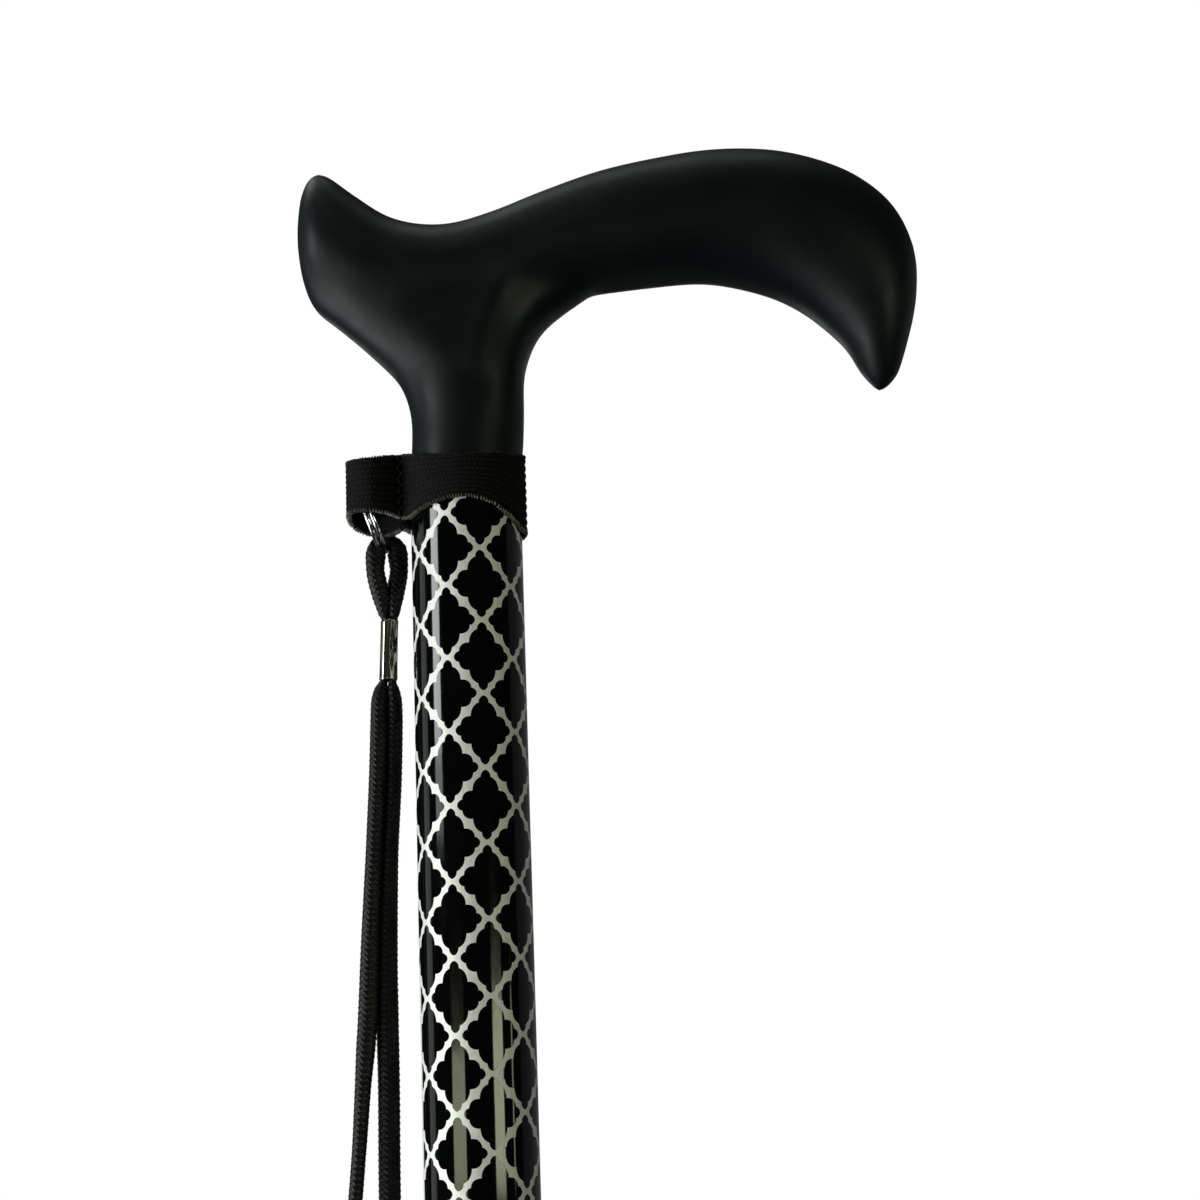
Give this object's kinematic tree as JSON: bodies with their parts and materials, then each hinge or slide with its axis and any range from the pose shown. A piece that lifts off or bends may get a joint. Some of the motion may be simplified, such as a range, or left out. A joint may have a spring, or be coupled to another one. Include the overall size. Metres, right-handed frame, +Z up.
{
  "type": "single point cane",
  "caption": "Height-adjustable walking cane with a derby handle, lattice-patterned upper tube, snap-button height setting, lock nut, rubber tip and a wrist cord on a split ring.",
  "frame": {"origin": "centre of the rubber tip's floor face", "axes": "+Z up along the shaft, +X from the shaft towards the handle's beak, +Y to the user's left when the beak points away from them; the handle's nose and the wrist cord are on the -X side"},
  "size_m": [0.1281, 0.038, 0.8628],
  "materials": {
    "handle_grip": "matte, slightly soft to the touch",
    "inner_plastic": "natural moulded nylon",
    "plain_steel": "zinc plated",
    "black_fastener": "black plated, semi-gloss",
    "upper_tube": "gloss black with a printed metallic lattice",
    "band_elastic": "ribbed woven elastic",
    "stitch_thread": "bonded polyester thread",
    "ring_chrome": "bright nickel plate",
    "crimp_metal": "polished, warm grey",
    "cord_braid": "braided polyester",
    "collar_plastic": "fine satin texture",
    "lower_tube": "satin black anodised",
    "spring_steel": "plain spring steel",
    "button_metal": "nickel plate",
    "tip_rubber": "moulded, matte"
  },
  "bodies": {
    "upper": {"handle": "handle_grip", "neck_spigot": "inner_plastic", "spigot_screw": "plain_steel", "spigot_washer": "plain_steel", "neck_rivet": "black_fastener", "upper_shaft": "upper_tube", "strap_band": "band_elastic", "band_stitching": "stitch_thread", "collar_bush": "collar_plastic", "clamp_olive": "inner_plastic"},
    "nut": {"lock_nut": "collar_plastic"},
    "lower": {"lower_shaft": "lower_tube", "guide_cap": "inner_plastic", "button_spring": "spring_steel", "tip_washer": "plain_steel", "rubber_tip": "tip_rubber"},
    "button": {"snap_button": "button_metal"},
    "ring": {"split_ring": "ring_chrome"},
    "cord": {"cord_eye": "cord_braid", "cord_crimp": "crimp_metal", "wrist_cord": "cord_braid"}
  },
  "joints": [
    {"name": "height_adjust", "type": "slide", "parent": "upper", "child": "lower", "axis": [0, 0, 1], "range_m": [-0.0762, 0.0762]},
    {"name": "button_press", "type": "slide", "parent": "lower", "child": "button", "axis": [1, 0, 0], "range_m": [0, 0.0042], "stiffness_N_per_m": 2200, "springref_m": -0.001, "deforming": ["button_spring"]},
    {"name": "lock_nut_turn", "type": "hinge", "parent": "upper", "child": "nut", "pos_m": [0, 0, 0.236], "axis": [0, 0, 1], "range_deg": [0, 270]},
    {"name": "ring_swing", "type": "hinge", "parent": "upper", "child": "ring", "pos_m": [-0.02154, 0.0049, 0.79512], "axis": [0.9426, 0, 0.3338], "range_deg": [-8, 15]},
    {"name": "cord_swing", "type": "hinge", "parent": "ring", "child": "cord", "pos_m": [-0.0164, 0.0049, 0.7806], "axis": [0, 1, 0], "range_deg": [0, 75]}
  ]
}
